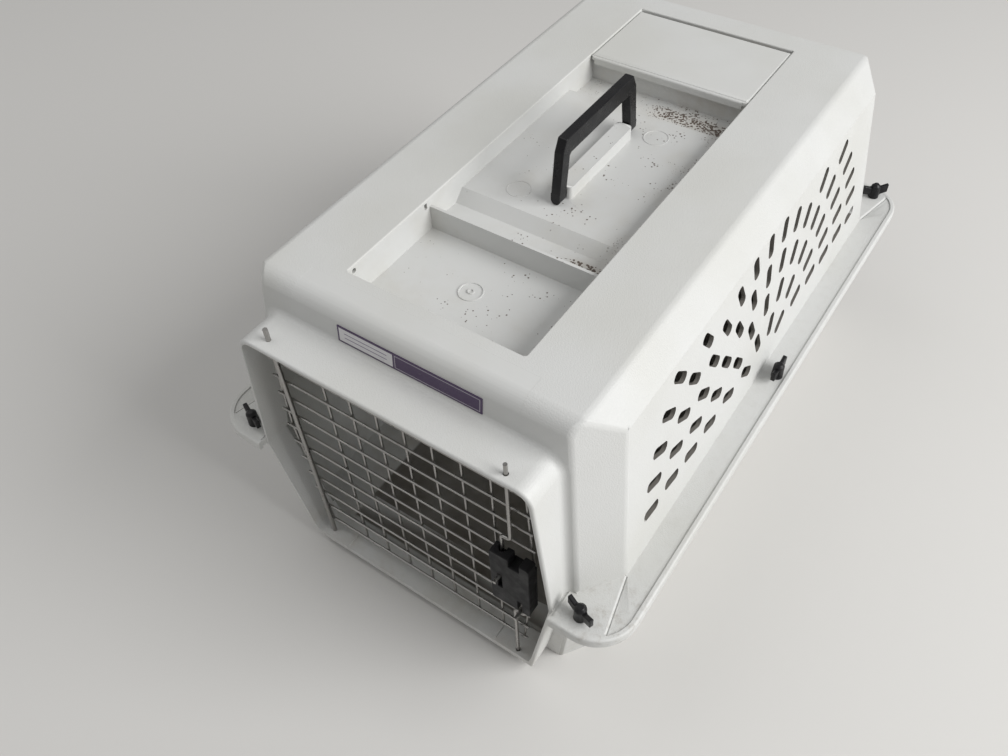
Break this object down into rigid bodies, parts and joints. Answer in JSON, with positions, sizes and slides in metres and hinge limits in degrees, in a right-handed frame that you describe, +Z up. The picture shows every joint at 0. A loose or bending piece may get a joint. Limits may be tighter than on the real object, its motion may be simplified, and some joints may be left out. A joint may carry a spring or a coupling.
{
  "type": "pet carrier",
  "caption": "Moulded travel kennel in two bolted halves with side vents, a swinging wire door with a squeeze latch, a fold-down handle and a lidded roof compartment.",
  "frame": {"origin": "on the floor, under the middle of the flange's outline", "axes": "+X to the right of a person who faces the door, +Y from the door to the back, +Z up"},
  "size_m": [0.388, 0.583, 0.343],
  "materials": {
    "shell": "pebbled off-white moulding",
    "black": "satin black moulding",
    "wire": "bright zinc-plated wire",
    "spring": "spring steel",
    "label": "printed plastic film"
  },
  "bodies": {
    "shell": {"top_shell": "shell", "bottom_shell": "shell", "front_label": "label", "flange_bolt_front_left": "black", "flange_bolt_front_right": "black", "flange_bolt_middle_left": "black", "flange_bolt_middle_right": "black", "flange_bolt_rear_left": "black", "flange_bolt_rear_right": "black"},
    "door": {"door_horizontal_wires": "wire", "door_vertical_wires": "wire", "door_side_wires": "wire", "door_hinge_rod": "wire", "latch_housing": "black", "latch_back_plate": "black", "latch_upper_spring": "spring", "latch_lower_spring": "spring"},
    "latch_upper": {"latch_upper_rod": "wire"},
    "latch_lower": {"latch_lower_rod": "wire"},
    "lid": {"rear_lid": "shell"},
    "handle": {"carry_handle": "black"},
    "nut_front_left": {"wing_nut_front_left": "black"},
    "nut_front_right": {"wing_nut_front_right": "black"},
    "nut_middle_left": {"wing_nut_middle_left": "black"},
    "nut_middle_right": {"wing_nut_middle_right": "black"},
    "nut_rear_left": {"wing_nut_rear_left": "black"},
    "nut_rear_right": {"wing_nut_rear_right": "black"}
  },
  "joints": [
    {"name": "door_swing", "type": "hinge", "parent": "shell", "child": "door", "pos_m": [-0.102, -0.274, 0.145], "axis": [0, 0, -1], "range_deg": [0, 120]},
    {"name": "latch_upper_slide", "type": "slide", "parent": "door", "child": "latch_upper", "axis": [0, 0, -1], "range_m": [0, 0.0145], "stiffness_N_per_m": 400, "springref_m": -0.008, "deforming": ["latch_upper_spring"]},
    {"name": "latch_lower_slide", "type": "slide", "parent": "door", "child": "latch_lower", "axis": [0, 0, 1], "range_m": [0, 0.0145], "stiffness_N_per_m": 400, "springref_m": -0.008, "deforming": ["latch_lower_spring"]},
    {"name": "lid_hinge", "type": "hinge", "parent": "shell", "child": "lid", "pos_m": [0, 0.2065, 0.299], "axis": [-1, 0, 0], "range_deg": [0, 95]},
    {"name": "handle_fold", "type": "hinge", "parent": "shell", "child": "handle", "pos_m": [0, 0, 0.2936], "axis": [0, 1, 0], "range_deg": [-88, 88]},
    {"name": "nut_front_left_spin", "type": "hinge", "parent": "shell", "child": "nut_front_left", "pos_m": [-0.1585, -0.277, 0.15], "axis": [0, 0, 1], "continuous": true},
    {"name": "nut_front_right_spin", "type": "hinge", "parent": "shell", "child": "nut_front_right", "pos_m": [0.1585, -0.277, 0.15], "axis": [0, 0, 1], "continuous": true},
    {"name": "nut_middle_left_spin", "type": "hinge", "parent": "shell", "child": "nut_middle_left", "pos_m": [-0.183, 0.002, 0.15], "axis": [0, 0, 1], "continuous": true},
    {"name": "nut_middle_right_spin", "type": "hinge", "parent": "shell", "child": "nut_middle_right", "pos_m": [0.183, 0.002, 0.15], "axis": [0, 0, 1], "continuous": true},
    {"name": "nut_rear_left_spin", "type": "hinge", "parent": "shell", "child": "nut_rear_left", "pos_m": [-0.168, 0.274, 0.15], "axis": [0, 0, 1], "continuous": true},
    {"name": "nut_rear_right_spin", "type": "hinge", "parent": "shell", "child": "nut_rear_right", "pos_m": [0.168, 0.274, 0.15], "axis": [0, 0, 1], "continuous": true}
  ],
  "couplings": [
    {"joint": "latch_lower_slide", "follows": "latch_upper_slide", "ratio": 1}
  ]
}
